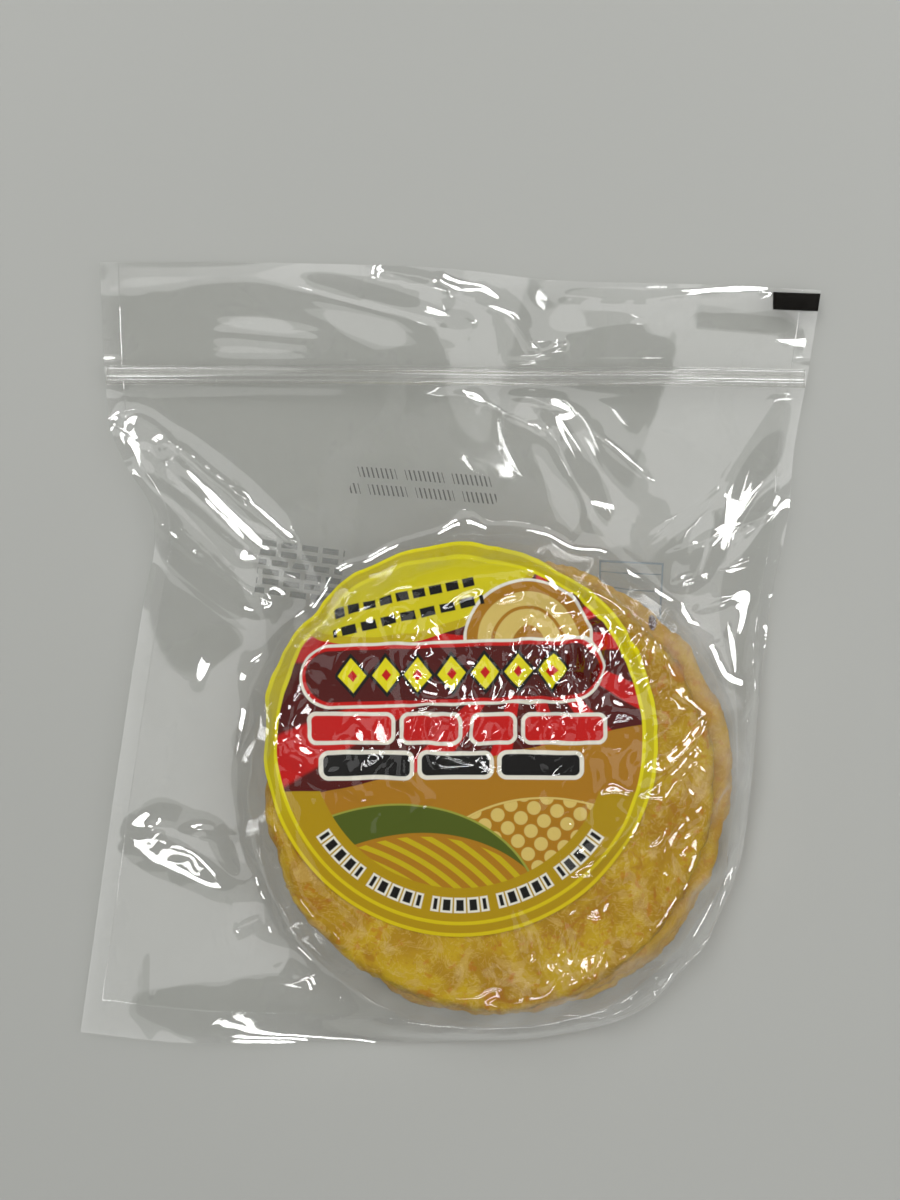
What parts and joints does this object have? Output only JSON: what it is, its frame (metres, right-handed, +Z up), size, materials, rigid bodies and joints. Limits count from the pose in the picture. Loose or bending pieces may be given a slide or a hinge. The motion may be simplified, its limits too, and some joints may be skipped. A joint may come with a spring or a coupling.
{
  "type": "bagged corn cakes",
  "caption": "A clear, tightly drawn zip pouch holding a fanned stack of flat golden corn cakes, lying on its back with a round printed panel on the front film.",
  "frame": {"origin": "on the table, under the middle of the pouch's outline", "axes": "+X across the pouch to the right as its front is read, +Y from the foot to the zipped head, +Z up out of the printed front"},
  "size_m": [0.199, 0.21, 0.026],
  "materials": {
    "film": "thin clear glossy plastic film, creased where it is drawn over the stack"
  },
  "bodies": {
    "root": {"bag": "film"}
  },
  "joints": []
}
